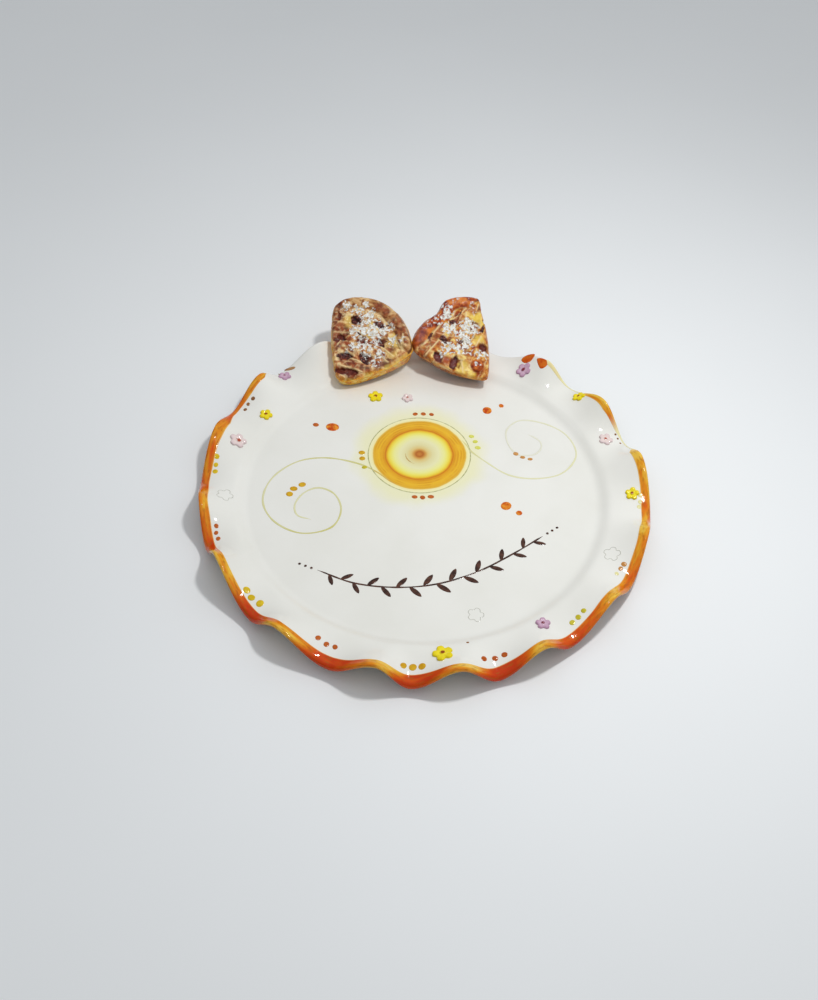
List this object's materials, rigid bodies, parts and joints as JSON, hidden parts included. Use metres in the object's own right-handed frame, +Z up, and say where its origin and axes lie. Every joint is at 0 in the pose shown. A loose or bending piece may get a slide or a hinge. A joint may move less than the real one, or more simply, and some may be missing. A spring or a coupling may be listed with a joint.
{
  "type": "ceramic serving plate with tart slices",
  "caption": "Round glazed ceramic serving plate with a fluted edge, relief flowers and ceramic slices of lattice tart on its rim, for serving a round tart.",
  "frame": {"origin": "centre of the flat foot ring's plane, where the plate stands on the table", "axes": "+Z up, +Y towards the back of the rim, where the tart slices are, +X to the right seen from the front"},
  "size_m": [0.3589, 0.3768, 0.0543],
  "materials": {
    "white_glaze": "glossy",
    "tart_wall": "glossy",
    "tart_crust": "glossy",
    "tart_strips": "glossy",
    "yellow_glaze": "glossy",
    "lilac_glaze": "glossy",
    "pink_glaze": "glossy",
    "orange_glaze": "glossy",
    "brown_glaze": "glossy"
  },
  "bodies": {
    "root": {"plate": "white_glaze", "slice_left_base": "tart_wall", "slice_left_crust": "tart_crust", "slice_left_lattice": "tart_strips", "slice_right_base": "tart_wall", "slice_right_crust": "tart_crust", "slice_right_lattice": "tart_strips", "slice_right_rosette": "tart_crust", "flower_1_yellow": "yellow_glaze", "flower_2_lilac": "lilac_glaze", "flower_3_yellow": "yellow_glaze", "flower_4_pink": "pink_glaze", "flower_5_yellow": "yellow_glaze", "flower_6_lilac": "lilac_glaze", "flower_7_pink": "pink_glaze", "flower_8_yellow": "yellow_glaze", "flower_9_lilac": "lilac_glaze", "flower_10_yellow": "yellow_glaze", "flower_11_pink": "pink_glaze"}
  },
  "joints": []
}
